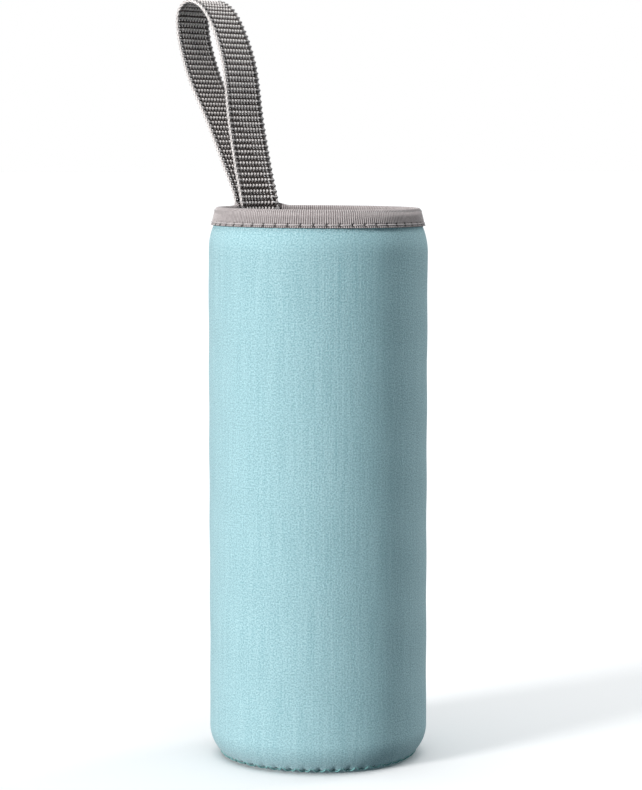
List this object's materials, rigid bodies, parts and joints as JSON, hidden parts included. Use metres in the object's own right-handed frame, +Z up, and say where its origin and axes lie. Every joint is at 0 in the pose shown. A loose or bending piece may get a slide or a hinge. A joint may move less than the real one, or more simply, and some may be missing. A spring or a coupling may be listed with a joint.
{
  "type": "insulating bottle sleeve",
  "caption": "Soft padded tube with a closed round base, a folded and stitched rim binding, and a woven wrist loop that swings on the rim.",
  "frame": {"origin": "centre of the underside of the round base", "axes": "+Z up along the tube's axis to the mouth, +Y towards the wrist loop and the tube's closing seam, X across the width of the loop's webbing"},
  "size_m": [0.072, 0.1069, 0.2515],
  "materials": {
    "aqua_knit": "fine matt jersey knit",
    "foam_rubber": "closed-cell sponge",
    "lining_knit": "fine matt jersey knit",
    "binding_tape": "ribbed satin tape",
    "rim_thread": "twisted polyester thread",
    "seam_thread": "twisted polyester thread",
    "webbing": "two-tone plain weave",
    "bartack_thread": "twisted polyester thread"
  },
  "bodies": {
    "sleeve": {"body_face_fabric": "aqua_knit", "base_face_fabric": "aqua_knit", "body_foam": "foam_rubber", "base_foam": "foam_rubber", "body_lining": "lining_knit", "base_lining": "lining_knit", "rim_binding": "binding_tape", "rim_needle_thread": "rim_thread", "rim_bobbin_thread": "rim_thread", "base_seam_stitches": "seam_thread", "back_seam_stitches": "seam_thread", "strap_tail_inner": "webbing", "strap_tail_outer": "webbing", "strap_bartack_inner": "bartack_thread", "strap_bartack_outer": "bartack_thread"},
    "strap": {"strap_loop": "webbing"}
  },
  "joints": [
    {"name": "strap_swing", "type": "hinge", "parent": "sleeve", "child": "strap", "pos_m": [0, 0.0339, 0.1836], "axis": [-1, 0, 0], "range_deg": [-104, 62], "stiffness_Nm_per_rad": 0.02, "springref_deg": -0.57}
  ]
}
